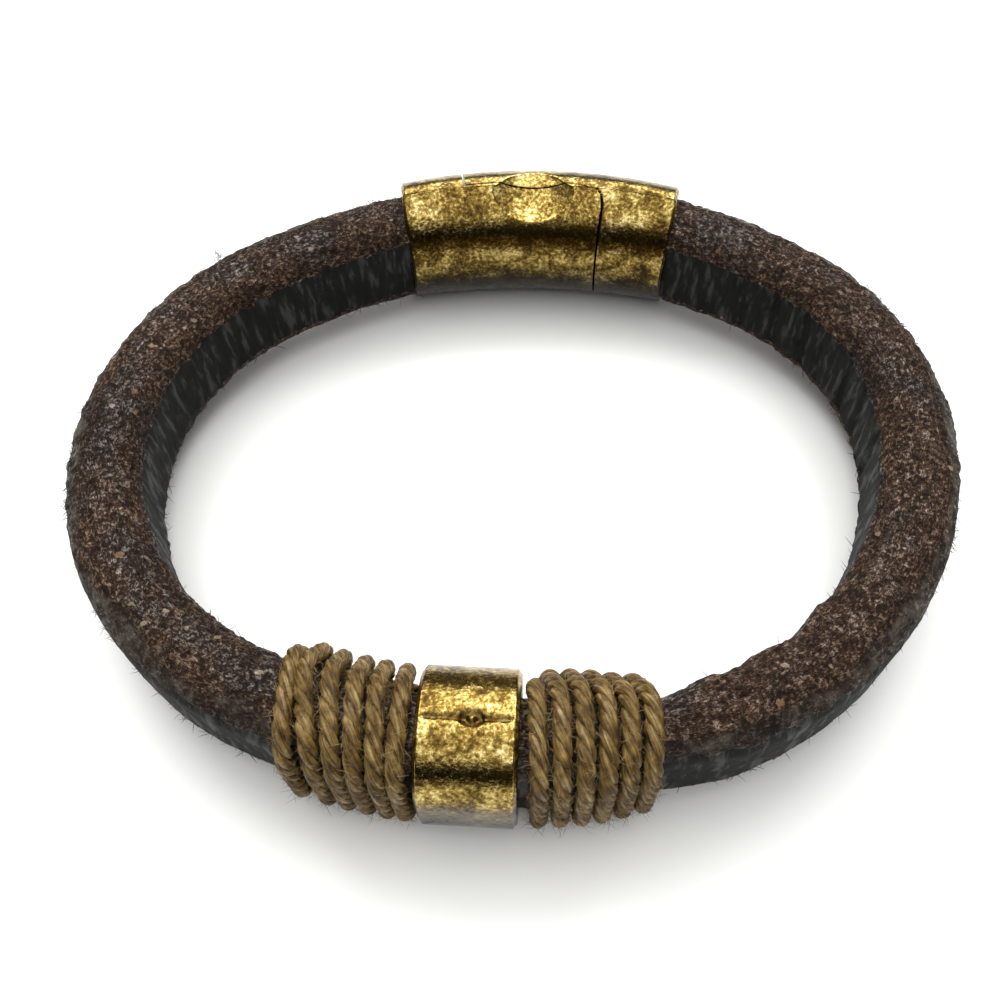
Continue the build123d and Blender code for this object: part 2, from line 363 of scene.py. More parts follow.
def addSky():
    # a bright room overhead, with a dark band low down on the side where the photographer stands
    sky = bpy.data.worlds.new("studioSky")
    scene.world = sky
    look = Finish("studioSky", owner=sky)
    toward = look.make("ShaderNodeTexCoord", None, None, outlet=0)
    split = look.tree.nodes.new("ShaderNodeSeparateXYZ")
    look.tree.links.new(toward.socket, split.inputs[0])
    east, north, up = [Flow(look.tree, socket) for socket in split.outputs]
    back = look.ease(north, *studio["backRange"])
    edge = back * studio["bandTopRear"] + (1 - back) * studio["bandTop"]
    high = look.ease(up - edge, -studio["bandSoft"], studio["bandSoft"])
    near = look.ease(0.0 - north, *studio["nearRange"])
    rear = look.ease(north, *studio["rearRange"])
    right = look.ease(east, *studio["sideRange"])
    sides = right * studio["skyRight"] + (1 - right) * studio["skyLeft"]
    low = (1 - near) * sides + near * studio["skyDark"]
    low = low * (1 - rear) + rear * studio["skyRear"]
    lit = back * studio["skyBack"] + (1 - back) * studio["skyFront"]
    wide = 1 - look.ease(east * east, *studio["wideRange"])
    strength = high * (wide * lit + (1 - wide) * studio["skyRight"]) + (1 - high) * low
    look.set(Color=(1.0, 0.995, 0.985), Strength=strength)


def addLamp(name, place, aim, size, watts, colour=(1, 1, 1)):
    data = bpy.data.lights.new(name, "AREA")
    data.shape = "RECTANGLE"
    data.size, data.size_y = size
    data.energy = watts
    data.color = colour
    lamp = bpy.data.objects.new(name, data)
    scene.collection.objects.link(lamp)
    lamp.location = place
    lamp.rotation_euler = (Vector(aim) - Vector(place)).to_track_quat("-Z", "Y").to_euler()


addFloor()
addSky()
for name, place, size, watts in studio["panels"]:
    addLamp(name, place, (0, 0, 0), size, watts)
scene.view_settings.view_transform = "Standard"
print("camera, floor and light placed")

# leather strap

strap = {
    "thickness": 6.4,
    "width": 10.0,
    "corner": 2.3,
    "start": 111.3,
    "end": 93.3,
    "ringStep": 1.68,
    "sectionPoints": 12,
    "divisions": 3,
    "roundedOff": 0.16,
    "dome": 0.10,
    "wrinkles": [  # station, depth
        (79.4, 0.30), (75.4, 0.34), (71.3, 0.42), (68.7, 0.22),
        (64.0, 0.38), (60.4, 0.30), (55.1, 0.34),
    ],
    "wrinkleWidth": 0.45,
    "rawBorder": (3.1, 3.6),  # half the smooth wall's height on the inner and the outer side
    "rawSoft": 0.12,
    "ragged": 0.35,
    "rawSwell": 0.12,
    "unevenness": 0.10,
    "lumps": (0.16, 0.11),  # coarse and fine, on the raw edges
    "creases": (0.05, 0.03),  # along the section and all over, on the smooth walls
    "flakes": [  # cells in a metre, turn, colour
        (640.0, 0.2, (0.27, 0.16, 0.085)),
        (900.0, 0.9, (0.36, 0.27, 0.17)),
        (760.0, 2.1, (0.22, 0.12, 0.080)),
    ],
    "flakeChance": 0.965,
    "flakeRadius": 0.27,
    "flakeBlend": 0.62,
}


def sectionLoop(count, thickness, width, corner):
    # outward, up and length round the section, counter-clockwise from the middle of the outer wall
    flatOut, flatUp = thickness / 2 - corner, width / 2 - corner
    quarter = math.pi * corner / 2
    total = 4 * (flatOut + flatUp + quarter)
    rows = []
    for k in range(count):
        d = total * k / count
        rows.append(sectionPlace(d, thickness, width, corner) + (d,))
    return np.array(rows), total


def sectionPlace(d, thickness, width, corner):
    flatOut, flatUp = thickness / 2 - corner, width / 2 - corner
    quarter = math.pi * corner / 2
    runs = [
        (flatUp, (thickness / 2, 0.0), (0, 1)),
        (quarter, (flatOut, flatUp), 0.0),
        (2 * flatOut, (flatOut, width / 2), (-1, 0)),
        (quarter, (-flatOut, flatUp), math.pi / 2),
        (2 * flatUp, (-thickness / 2, flatUp), (0, -1)),
        (quarter, (-flatOut, -flatUp), math.pi),
        (2 * flatOut, (-flatOut, -width / 2), (1, 0)),
        (quarter, (flatOut, -flatUp), 1.5 * math.pi),
        (flatUp, (thickness / 2, -flatUp), (0, 1)),
    ]
    for length, (x, y), way in runs:
        if d <= length + 1e-9:
            if isinstance(way, tuple):
                return x + d * way[0], y + d * way[1]
            angle = way + d / corner
            return x + corner * math.cos(angle), y + corner * math.sin(angle)
        d -= length
    return thickness / 2, 0.0


def rawness(outward, up, wobble):
    # 1 on the raw cut edges above and below, 0 on the smooth inner and outer walls
    border = np.where(outward < 0, *strap["rawBorder"])
    return ease(np.abs(up) + wobble, border - strap["rawSoft"], border + strap["rawSoft"])


def spinStrap():
    # a coarse section loop is spun round the centre of each arc in turn, then divided
    section = [strap[key] for key in ("thickness", "width", "corner")]
    loop, total = sectionLoop(strap["sectionPoints"], *section)
    deselect()
    bpy.ops.mesh.primitive_circle_add(vertices=strap["sectionPoints"], radius=0.005)
    piece = bpy.context.object
    piece.name = "leatherStrap"
    started = np.full(len(loop), strap["start"])
    setPoints(piece.data, ringPlace(started, loop[:, 0], loop[:, 1]) * mm)
    bpy.ops.object.mode_set(mode="EDIT")
    bpy.ops.mesh.select_all(action="SELECT")
    station, end, stations = strap["start"], strap["end"] + ringLength, [strap["start"]]
    joints = sorted(list(arcs[:, 5]) + list(arcs[:, 5] + ringLength))
    while station < end - 1e-6:
        nextStop = min([j for j in joints if j > station + 1e-6] + [end])
        place = np.mod(station + 1e-6, ringLength)
        row = arcs[np.searchsorted(arcs[:, 5], place, side="right") - 1]
        centre = Vector((*arcCentre(row), 0)) * mm
        steps = max(1, round((nextStop - station) / strap["ringStep"]))
        angle = -(nextStop - station) / row[4]
        bpy.ops.mesh.spin(steps=steps, angle=angle, center=centre, axis=(0, 0, 1))
        stations += list(np.linspace(station, nextStop, steps + 1)[1:])
        station = nextStop
    bpy.ops.object.mode_set(mode="OBJECT")
    stations = np.array(stations)
    along = np.repeat(stations, len(loop))
    outward, up, around = np.tile(loop, (len(stations), 1)).T
    if np.abs(points(piece.data) / mm - ringPlace(along, outward, up)).max() > 0.02:
        raise RuntimeError("the spun strap does not follow the plan")
    writeMap(piece.data, np.stack([along, around], -1), total)
    divide = piece.modifiers.new("divide", "SUBSURF")
    divide.subdivision_type = "SIMPLE"
    divide.uv_smooth = "NONE"
    divide.levels = divide.render_levels = strap["divisions"]
    bpy.ops.object.modifier_apply(modifier="divide")
    return piece, total


def sectionPlaces(around, total):
    section = [strap[key] for key in ("thickness", "width", "corner")]
    return np.array([sectionPlace(d % total, *section) for d in around]).T


def shapeStrap():
    piece, total = spinStrap()
    s, around = readMap(piece.data)
    outward, up = sectionPlaces(around, total)
    flatOut = strap["thickness"] / 2 - strap["corner"]
    flatUp = strap["width"] / 2 - strap["corner"]
    normalOut = outward - np.clip(outward, -flatOut, flatOut)
    normalUp = up - np.clip(up, -flatUp, flatUp)
    size = np.hypot(normalOut, normalUp)
    normalOut, normalUp = normalOut / size, normalUp / size
    base = ringPlace(s, outward, up)
    lie = np.stack([s, around, np.zeros_like(s)], -1)
    raw = rawness(outward, up, strap["ragged"] * noiseAt(base, 1.1, 3, 3.1))
    swell = strap["unevenness"] * noiseAt(base, 6.0, 2, 9.0)
    swell -= strap["roundedOff"] * np.abs(normalOut * normalUp) * 2
    swell += strap["dome"] * (np.abs(normalUp) > 0.99) * (1 - (outward / flatOut) ** 2)
    coarse, fine = strap["lumps"]
    lumps = coarse * noiseAt(base, 1.3, 2, 21.0) + fine * noiseAt(base, 0.5, 2, 33.0)
    lined, spread = strap["creases"]
    creases = lined * noiseAt(lie * (1.0, 0.22, 1.0), 0.55, 2, 41.0)
    creases += spread * noiseAt(base, 0.8, 2, 45.0)
    move = swell + raw * (strap["rawSwell"] + lumps) + (1 - raw) * creases
    inside = ease(-outward, flatOut * 0.6, strap["thickness"] / 2 - 0.4)
    for place, deep in strap["wrinkles"]:
        bend = 0.5 * noiseAt(base, 3.0, 2, place)
        away = np.abs(np.mod(s, ringLength) - place + bend - 0.12 * up) / strap["wrinkleWidth"]
        move -= inside * (1 - 0.6 * raw) * deep * np.exp(-away ** 2)
    pressed = np.where(outward < 0, pressedIn("inner", s), -pressedIn("outer", s))
    pressed *= np.minimum(1.0, np.abs(outward) / (strap["thickness"] / 2 - 0.3))
    outward, up, side = outward + pressed + move * normalOut, up + move * normalUp, outward
    setPoints(piece.data, ringPlace(s, outward, up) * mm)
    writeAttribute(piece.data, "rawEdge", raw)
    writeAttribute(piece.data, "outerSide", ease(side, 0.6, 2.8))
    closeEnds(piece)
    return piece, total


def loopPoints(mesh):
    loops = np.empty(len(mesh.loops), dtype=np.int32)
    mesh.loops.foreach_get("vertex_index", loops)
    return loops


def readMap(mesh):
    # station and length round the section of every point, in millimetres
    values = np.empty(len(mesh.loops) * 2)
    mesh.uv_layers["strapMap"].data.foreach_get("uv", values)
    found = np.full((len(mesh.vertices), 2), np.inf)  # the least value, also where the map's ends meet
    np.minimum.at(found, loopPoints(mesh), values.reshape(-1, 2) / mm)
    return found[:, 0], found[:, 1]


def writeMap(mesh, values, total):
    # a map in metres along and round the strap
    around = values[loopPoints(mesh)].copy()
    sizes = np.empty(len(mesh.polygons), dtype=np.int32)
    mesh.polygons.foreach_get("loop_total", sizes)
    owner = np.repeat(np.arange(len(sizes)), sizes)
    highest = np.zeros(len(sizes))
    np.maximum.at(highest, owner, around[:, 1])
    around[:, 1] += total * ((highest[owner] - around[:, 1]) > total / 2)
    layer = mesh.uv_layers.new(name="strapMap")
    layer.data.foreach_set("uv", (around * mm).ravel())


def closeEnds(piece):
    activate(piece)
    bpy.ops.object.mode_set(mode="EDIT")
    bpy.ops.mesh.select_all(action="SELECT")
    bpy.ops.mesh.fill_holes(sides=0)
    bpy.ops.mesh.normals_make_consistent(inside=False)
    bpy.ops.object.mode_set(mode="OBJECT")


def leatherFinish():
    look = Finish("leatherFinish")
    where = look.objectPlace()
    lie = look.make("ShaderNodeUVMap", {"uv_map": "strapMap"})
    fine = look.noise(where, 2700.0, 5.0, 0.70, 0.5)
    medium = look.noise(where, 900.0, 4.0, 0.6, 0.8)
    broad = look.noise(where, 160.0, 3.0)
    fibres = look.noise(look.stretch(lie, (1.0, 3.4, 1.0), (0, 0, 0.6)), 1300.0, 4.0, 0.72, 2.2)
    rawEdge, outerSide = look.attribute("rawEdge"), look.attribute("outerSide")
    raw = look.ease(rawEdge + (medium - 0.5) * 0.9, 0.35, 0.60)
    mixed = fine * 0.46 + fibres * 0.38 + medium * 0.16
    brown = look.make("ShaderNodeValToRGB", {"stops": [
        (0.40, (0.0030, 0.0015, 0.0009)), (0.46, (0.0120, 0.0060, 0.0036)),
        (0.51, (0.040, 0.0215, 0.0118)), (0.55, (0.105, 0.064, 0.040)), (0.61, (0.29, 0.205, 0.140)),
    ]}, {0: mixed})
    patch = look.ease(broad + (medium - 0.5) * 0.6, 0.48, 0.62)
    brown = look.blend(patch * 0.6, brown, (0.0085, 0.0048, 0.0038))
    smear = look.ease(outerSide + (broad - 0.5) * 1.6, 0.45, 0.75)
    brown = look.blend(smear * 0.65, brown, look.make("ShaderNodeValToRGB", {"stops": [
        (0.38, (0.007, 0.0045, 0.004)), (0.50, (0.026, 0.019, 0.015)), (0.62, (0.080, 0.074, 0.058)),
    ]}, {0: look.noise(where, 600.0, 4.0, 0.6, 1.0)}))
    drawn = look.stretch(lie, (1.0, 0.22, 1.0), (0, 0, 0.35))
    across = look.noise(drawn, 1100.0, 5.0, 0.62)
    streak = look.ease(across, 0.50, 0.62)
    grey = look.make("ShaderNodeValToRGB", {"stops": [
        (0.38, (0.0016, 0.0017, 0.0015)), (0.52, (0.0048, 0.0052, 0.0044)),
        (0.64, (0.022, 0.023, 0.0195)),
    ]}, {0: across})
    least = strap["flakeChance"]
    for size, turn, tone in strap["flakes"]:
        spot = look.stretch(where, (1.0, 1.35, 1.0), (0.3, 0.0, turn))
        near = look.cells(spot, size)
        chance = look.make("ShaderNodeSeparateColor", None, {0: look.cells(spot, size, outlet=1)})
        inside = look.ease(strap["flakeRadius"] - near + (fine - 0.5) * 0.6, 0.0, 0.06)
        fleck = look.ease(chance, least, least + 0.005) * inside
        brown = look.blend(fleck * strap["flakeBlend"], brown, tone)
    colour = look.blend(raw, grey, brown)
    gloss = look.ease(mixed + (broad - 0.5) * 0.16, 0.51, 0.62)
    relief = raw * (fine * 0.60 + fibres * 0.60) * (1 - smear * 0.5)
    relief = relief + (1 - raw) * (fibres * 0.10 + across * 0.16)
    look.set(Base_Color=colour, Roughness=0.75 - raw * gloss * 0.3)
    look.set(Normal=look.bump(relief, 1.0, 0.00034))
    look.set(Coat_Weight=raw * (0.02 + gloss * 0.98) + (1 - raw) * (0.04 + streak * 0.20))
    look.shader.inputs["Coat Roughness"].default_value = 0.30
    look.shader.inputs["Specular IOR Level"].default_value = 0.12
    return look.owner


leatherMaterial = leatherFinish()
leatherStrap, strapRound = shapeStrap()
smoothShade(leatherStrap)
finishPiece(leatherStrap, leatherMaterial, "leather", "leather_band")
print("leather strap shaped")

# castings: bead and clasp

casting = {
    "voxel": 0.13,
    "smoothTimes": 3,
    "snapNear": 0.06,
    "snapFar": 0.14,
    "waviness": 0.008,
    "grainDepth": 0.004,
    "partingOut": -0.33,
    "partingWidth": 0.20,
    "partingDepth": 0.24,
    "partingWander": 0.10,
    "crestRange": (11.5, 12.5),  # heights between which the parting line fades out
    "recessDepth": 0.2,
}
bead = {
    "length": 7.3,
    "thickness": 10.6,
    "height": 13.5,
    "inset": 0.5,
    "round": 5.2,
    "pitAt": 4.0,
    "pit": (0.34, 0.62),  # depth and radius
    "nub": (0.42, 0.28),
}
clasp = {
    "middle": 102.3,
    "thickness": 9.5,
    "height": 13.5,
    "inset": 0.3,
    "round": 4.15,
    "innerRadius": 61.0,
    "scoopAt": 102.9,
    "scoopRadius": 7.0,
    "scoopTilt": 18.5,
    "scoopFloor": (-0.5, 12.6),
    "crestSoft": 0.35,
    "innerBow": 1.0,
    "outerBow": 0.30,
}


def stationFrame(station):
    # place of the middle line on the surface it lies on, the way outward and the way along
    x, y, heading = [float(value) for value in headings(station)]
    outward = np.array((math.sin(heading), -math.cos(heading), 0.0))
    return np.array((x, y, 0.0)), outward, np.array((math.cos(heading), math.sin(heading), 0.0))


def beadForm(places):
    # depth under the rounded surface, the way out of it, station and distance outward
    origin, outward, along = stationFrame(bead["length"] / 2)
    away = (places - origin) @ outward
    up = places[:, 2] - plan["middleHeight"]
    flatOut = bead["thickness"] / 2 - bead["round"]
    flatUp = bead["height"] / 2 - bead["round"]
    sideways = away + bead["inset"] - np.clip(away + bead["inset"], -flatOut, flatOut)
    upward = up - np.clip(up, -flatUp, flatUp)
    size = np.maximum(np.hypot(sideways, upward), 1e-6)
    way = (sideways / size)[:, None] * outward + (upward / size)[:, None] * (0.0, 0.0, 1.0)
    return bead["round"] - size, way, bead["length"] / 2 + (places - origin) @ along, away


def claspSides(places):
    # way from the centre of the inner and of the outer side, with the depth under each
    fromOuter = places[:, :2] - arcCentre(arcs[plan["claspArc"]])
    radius = arcs[plan["claspArc"]][4]
    face = clasp["thickness"] / 2
    outer = face - clasp["inset"] - (np.linalg.norm(fromOuter, axis=1) - radius)
    origin, outward, along = stationFrame(clasp["middle"])
    innerCentre = origin + outward * (-face - clasp["inset"] - clasp["innerRadius"])
    fromInner = places[:, :2] - innerCentre[:2]
    inner = np.linalg.norm(fromInner, axis=1) - clasp["innerRadius"]
    return fromInner, inner, fromOuter, outer


def claspForm(places):
    # the same for the clasp, whose inner side is an arc of its own
    row = arcs[plan["claspArc"]]
    fromInner, inner, fromCentre, outer = claspSides(places)
    far = np.linalg.norm(fromCentre, axis=1)
    heading = np.mod(np.arctan2(fromCentre[:, 0], -fromCentre[:, 1]), 2 * np.pi)
    station = row[5] + row[4] * (heading - row[2])
    inward = outer > inner
    side = np.where(inward, -1.0, 1.0)[:, None] * np.where(inward[:, None], fromInner, fromCentre)
    side /= np.linalg.norm(side, axis=1)[:, None]
    sideways = np.maximum(clasp["round"] - np.minimum(inner, outer), 0)
    up = places[:, 2] - clasp["height"] / 2
    flatUp = clasp["height"] / 2 - clasp["round"]
    upward = up - np.clip(up, -flatUp, flatUp)
    size = np.maximum(np.hypot(sideways, upward), 1e-6)
    way = np.concatenate([side * (sideways / size)[:, None], (upward / size)[:, None]], axis=1)
    return clasp["round"] - size, way, station, far - row[4]


def snapped(places, gap, way):
    # points close to a true surface are brought onto it
    weight = 1 - ease(np.abs(gap), casting["snapNear"], casting["snapFar"])
    return places + way * (gap * weight)[:, None]


def claspBulge(places):
    # the sides are bowed from crest to crest, so they are drawn in above and below the middle
    fromInner, inner, fromOuter, outer = claspSides(places)
    across, half = (inner - outer) / 2, (inner + outer) / 2
    up = np.abs(places[:, 2] - clasp["height"] / 2)
    tall, soft = clasp["height"] / 2, clasp["crestSoft"]
    rounded = np.maximum(up - tall + clasp["round"], 0)
    blockDepth = np.sqrt(np.maximum(clasp["round"] ** 2 - rounded ** 2, 0))
    blockDepth = np.maximum(half - clasp["round"] + blockDepth, 0.1)
    bow = (tall ** 2 + half ** 2) / (2 * half)
    bowedDepth = np.sqrt(np.maximum(bow ** 2 - up ** 2, 0)) - (bow - half)
    bowedDepth = np.hypot(bowedDepth, soft) * half / np.hypot(half, soft)
    bowShare = np.where(across < 0, clasp["innerBow"], clasp["outerBow"])
    factor = 1 - (1 - np.minimum(bowedDepth / blockDepth, 1)) * bowShare
    outward = np.zeros_like(places)
    outward[:, :2] = fromOuter / np.linalg.norm(fromOuter, axis=1)[:, None]
    return places + outward * (across * (factor - 1))[:, None]


def snapScoop(places, deep):
    origin, outward, along = stationFrame(clasp["scoopAt"])
    tilt = math.radians(clasp["scoopTilt"])
    upward = np.array((0.0, 0.0, 1.0))
    floorPoint = origin + outward * clasp["scoopFloor"][0] + upward * clasp["scoopFloor"][1]
    rise = upward * math.cos(tilt) - outward * math.sin(tilt)
    centre = floorPoint + rise * clasp["scoopRadius"]
    axis = outward * math.cos(tilt) + upward * math.sin(tilt)
    across = (places - centre) - ((places - centre) @ axis)[:, None] * axis
    far = np.linalg.norm(across, axis=1)
    gap = np.where(deep > 0.12, clasp["scoopRadius"] - far, 1.0)
    return snapped(places, gap, across / far[:, None])


def partingGroove(places, away, station, spans, seed):
    # the thin line left on the crest where the two halves of the mould met
    depth = np.zeros(len(places))
    wander = casting["partingWander"] * noiseAt(places, 1.6, 2, seed)
    for start, end, out in spans:
        near = np.exp(-(((away - out + wander) / casting["partingWidth"]) ** 2))
        inside = ease(station, start, start + 0.8) * (1 - ease(station, end - 0.8, end))
        depth += near * inside
    crest = ease(places[:, 2], *casting["crestRange"])
    uneven = 0.85 + 0.5 * noiseAt(places, 1.1, 1, seed + 3)
    return depth * crest * casting["partingDepth"] * uneven


def beadMarks(places, away, station):
    # the small pit in the parting line, with a nub in it
    far = np.hypot(away - casting["partingOut"], (station - bead["pitAt"]) / 1.3)
    crest = places[:, 2] > 12
    (pitDeep, pitWide), (nubTall, nubWide) = bead["pit"], bead["nub"]
    pit, nub = np.exp(-((far / pitWide) ** 4)), np.exp(-((far / nubWide) ** 2))
    return crest * (pitDeep * pit - nubTall * nub)


def castCopy(node, name, form, spans, seed):
    piece = bpy.data.objects.new(name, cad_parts[node].data.copy())
    scene.collection.objects.link(piece)
    activate(piece)
    bpy.ops.object.mode_set(mode="EDIT")
    bpy.ops.mesh.select_all(action="SELECT")
    bpy.ops.mesh.remove_doubles(threshold=0.000001)
    bpy.ops.object.mode_set(mode="OBJECT")
    bpy.ops.mesh.customdata_custom_splitnormals_clear()
    piece.data.use_remesh_preserve_attributes = False
    piece.data.remesh_voxel_size = casting["voxel"] * mm
    bpy.ops.object.voxel_remesh()
    soften = piece.modifiers.new("soften", "SMOOTH")
    soften.factor = 0.5
    soften.iterations = casting["smoothTimes"]
    bpy.ops.object.modifier_apply(modifier="soften")
    places = points(piece.data) / mm
    deep, way, station, away = form(places)
    places = snapped(places, deep, way)
    if form is claspForm:
        places = claspBulge(snapScoop(places, deep))
    setPoints(piece.data, places * mm)
    normals = np.empty(len(piece.data.vertices) * 3)
    piece.data.vertices.foreach_get("normal", normals)
    move = casting["waviness"] * noiseAt(places, 3.0, 2, seed)
    move += casting["grainDepth"] * noiseAt(places, 0.5, 2, seed + 5)
    marks = partingGroove(places, away, station, spans, seed)
    if form is beadForm:
        marks += beadMarks(places, away, station)
    move -= marks
    setPoints(piece.data, (places + normals.reshape(-1, 3) * move[:, None]) * mm)
    writeAttribute(piece.data, "recess", np.clip(marks / casting["recessDepth"], 0, 1))
    smoothShade(piece)
    return piece


def brassFinish():
    look = Finish("antiqueBrass")
    where = look.objectPlace()
    cloud = look.noise(where, 620.0, 5.0, 0.66, 0.4)
    speck = look.noise(where, 3200.0, 4.0, 0.68)
    broad = look.noise(where, 150.0, 3.0)
    mixed = cloud * 0.36 + speck * 0.46 + broad * 0.18
    gold = look.make("ShaderNodeValToRGB", {"stops": [
        (0.40, (0.038, 0.019, 0.0035)), (0.47, (0.115, 0.070, 0.0135)),
        (0.53, (0.30, 0.21, 0.055)), (0.59, (0.60, 0.47, 0.19)), (0.66, (0.92, 0.82, 0.53)),
    ]}, {0: mixed})
    # painted shade: the brass is coloured darker lower down, to 0.12 of its tone at the foot, standing
    # in for the shaded floor it reflects there
    height = look.make("ShaderNodeSeparateXYZ", None, {0: where}, outlet=2)
    paintedShadeRamp = look.ease(height + (cloud - 0.5) * 0.004, 0.0045, 0.0105)
    shade = paintedShadeRamp * 0.88 + 0.12
    shade = look.make("ShaderNodeCombineColor", None, {0: shade, 1: shade, 2: shade})
    gold = look.blend(1.0, gold, shade, "MULTIPLY")
    gold = look.blend(look.attribute("recess") * 0.8, gold, (0.030, 0.014, 0.003))
    tarnish = look.ease(0.60 - mixed, 0.10, 0.20)
    rough = 0.16 + tarnish * 0.16 + (speck - 0.5) * 0.25
    relief = speck * 0.6 + cloud * 0.4
    look.set(Base_Color=gold, Roughness=rough, Normal=look.bump(relief, 0.42, 0.00012))
    look.set(Metallic=1 - tarnish * 0.2)
    look.shader.inputs["Specular IOR Level"].default_value = 0.3
    return look.owner


brassMaterial = brassFinish()
castings = [  # node, piece, form, spans of the parting line as start, end and distance outward, seed
    ("slider_bead", "beadCasting", beadForm, [(0.2, 7.1, -0.33)], 1.0),
    ("clasp_body", "claspBodyCasting", claspForm, [(109.9, 115.2, -0.55)], 2.0),
    ("clasp_hook", "claspHookCasting", claspForm, [(89.4, 95.4, -0.15)], 3.0),
]
for node, name, form, spans, seed in castings:
    finishPiece(castCopy(node, name, form, spans, seed), brassMaterial, "brass", node)
print("castings made")

# magnets stay as they are, with a nickel finish

nickel = Finish("nickelPlate")
drawnOut = nickel.stretch(nickel.objectPlace(), (1.0, 1.0, 8.0))
scratches = nickel.noise(drawnOut, 900.0, 4.0)
nickel.set(Base_Color=(0.55, 0.54, 0.52), Metallic=1.0, Roughness=0.2 + scratches * 0.25)
for node in ("clasp_magnet_body", "clasp_magnet_hook"):
    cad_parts[node].data.materials.clear()
    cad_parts[node].data.materials.append(nickel.owner)
print("magnets finished")

# cord wraps

cord = {
    "diameter": 1.3,
    "gap": 0.1,
    "turns": 6,
    "tailSpacing": 1.6,
    "tailBend": 1.6,
    "tailStub": 0.3,
    "firstRise": 0.15,
    "lastRise": 0.35,
    "bowHeight": 3.0,
    "bowRadius": 3.5,
    "bowGap": 0.22,
    "tailRun": 25.0,
    "lay": 3.9,
    "plyRadius": 0.420,
    "plyOffset": 0.285,
    "step": 0.20,
    "plySides": 12,
    "plyWander": 0.18,
    "plySwell": 0.10,
}
windings = {  # stations of the turns on the inner and on the outer side of the strap
    "cord_wrap_left": (
        (185.5, 186.9, 189.1, 191.15, 192.9, 194.85),
        (187.95, 189.95, 191.4, 192.8, 194.2, 195.45),
    ),
    "cord_wrap_right": (
        (8.7, 10.35, 12.05, 13.7, 15.3, 16.95),
        (8.55, 10.05, 11.55, 13.0, 14.5, 16.0),
    ),
}


def windingRoute(inner, outer):
    # corners of one cord as rows of station, outward and up, with the radius at each inner corner
    cornerOut = strap["thickness"] / 2 - strap["corner"]
    cornerUp = strap["width"] / 2 - strap["corner"]
    hug = strap["corner"] + cord["gap"] + cord["diameter"] / 2
    hugOut, hugUp = cornerOut + hug, cornerUp + hug
    bowOut, bowUp = hugOut + cord["diameter"] + cord["bowGap"], cord["bowHeight"] / 2
    rise = math.hypot(cornerUp - bowUp, bowOut - cornerOut)
    slope = math.atan2(cornerUp - bowUp, bowOut - cornerOut) + math.asin(hug / rise)
    bowCorner = cornerOut + hug * math.tan(slope / 2)
    high, low, last = cord["tailSpacing"] / 2, -cord["tailSpacing"] / 2, cord["turns"] - 1
    firstRise, lastRise = inner[0] - cord["firstRise"], inner[last] + cord["lastRise"]
    middle = (inner[0] + inner[last]) / 2

    def inside(station, distance):
        return station, float(pressedIn("inner", np.array(station))) - distance

    rows = [
        (*inside(inner[last] + cord["tailStub"], hugOut), high, None),
        (*inside(middle, hugOut), high, cord["tailRun"]),
        (*inside(firstRise, hugOut), high, cord["tailBend"]),
        (*inside(firstRise, hugOut), hugUp, hug),
    ]
    for k in range(cord["turns"]):
        outside = hugOut - float(pressedIn("outer", np.array(outer[k])))
        rows += [(outer[k], outside, hugUp, hug), (outer[k], outside, -hugUp, hug)]
        if k < last:
            step = (inner[k + 1] - inner[k]) / 3
            rows += [
                (*inside(inner[k], bowCorner), -hugUp, hug),
                (*inside(inner[k] + step, bowOut), -bowUp, cord["bowRadius"]),
                (*inside(inner[k] + 2 * step, bowOut), bowUp, cord["bowRadius"]),
                (*inside(inner[k + 1], bowCorner), hugUp, hug),
            ]
    rows += [
        (*inside(lastRise, hugOut), -hugUp, hug),
        (*inside(lastRise, hugOut), low, cord["tailBend"]),
        (*inside(middle, hugOut), low, cord["tailRun"]),
        (*inside(firstRise - cord["tailStub"], hugOut), low, None),
    ]
    corners = np.array([ringPlace(row[0], row[1], row[2]) for row in rows])
    return corners, [row[3] for row in rows]


def roundedPath(corners, radii, step):
    # the cord's middle line: runs with a round bend of the given radius at each corner
    path = [corners[0]]
    for k in range(1, len(corners) - 1):
        before, here, after = corners[k - 1], corners[k], corners[k + 1]
        back, ahead = before - here, after - here
        back, ahead = back / np.linalg.norm(back), ahead / np.linalg.norm(ahead)
        turn = math.pi - math.acos(np.clip(back @ ahead, -1, 1))
        reach = radii[k] * math.tan(turn / 2)
        middle = (back + ahead) / np.linalg.norm(back + ahead)
        centre = here + middle * radii[k] / math.cos(turn / 2)
        start, side = here + back * reach - centre, -back
        count = max(2, int(turn * radii[k] / step))
        for j in range(count + 1):
            angle = turn * j / count
            path.append(centre + start * math.cos(angle) + side * radii[k] * math.sin(angle))
    path.append(corners[-1])
    path = np.array(path)
    lengths = np.concatenate([[0], np.cumsum(np.linalg.norm(np.diff(path, axis=0), axis=1))])
    keep = np.concatenate([[True], np.diff(lengths) > 1e-6])
    path, lengths = path[keep], lengths[keep]
    even = np.linspace(0, lengths[-1], int(lengths[-1] / step))
    return np.stack([np.interp(even, lengths, path[:, k]) for k in range(3)], -1), even


def carriedFrames(path):
    # two directions across the path that turn as little as they can along it
    tangents = np.gradient(path, axis=0)
    tangents /= np.linalg.norm(tangents, axis=1)[:, None]
    first = np.cross(tangents[0], (0.0, 0.0, 1.0))
    sides = [first / np.linalg.norm(first)]
    for k in range(1, len(path)):
        side = sides[-1] - tangents[k] * (sides[-1] @ tangents[k])
        sides.append(side / np.linalg.norm(side))
    sides = np.array(sides)
    return sides, np.cross(tangents, sides)


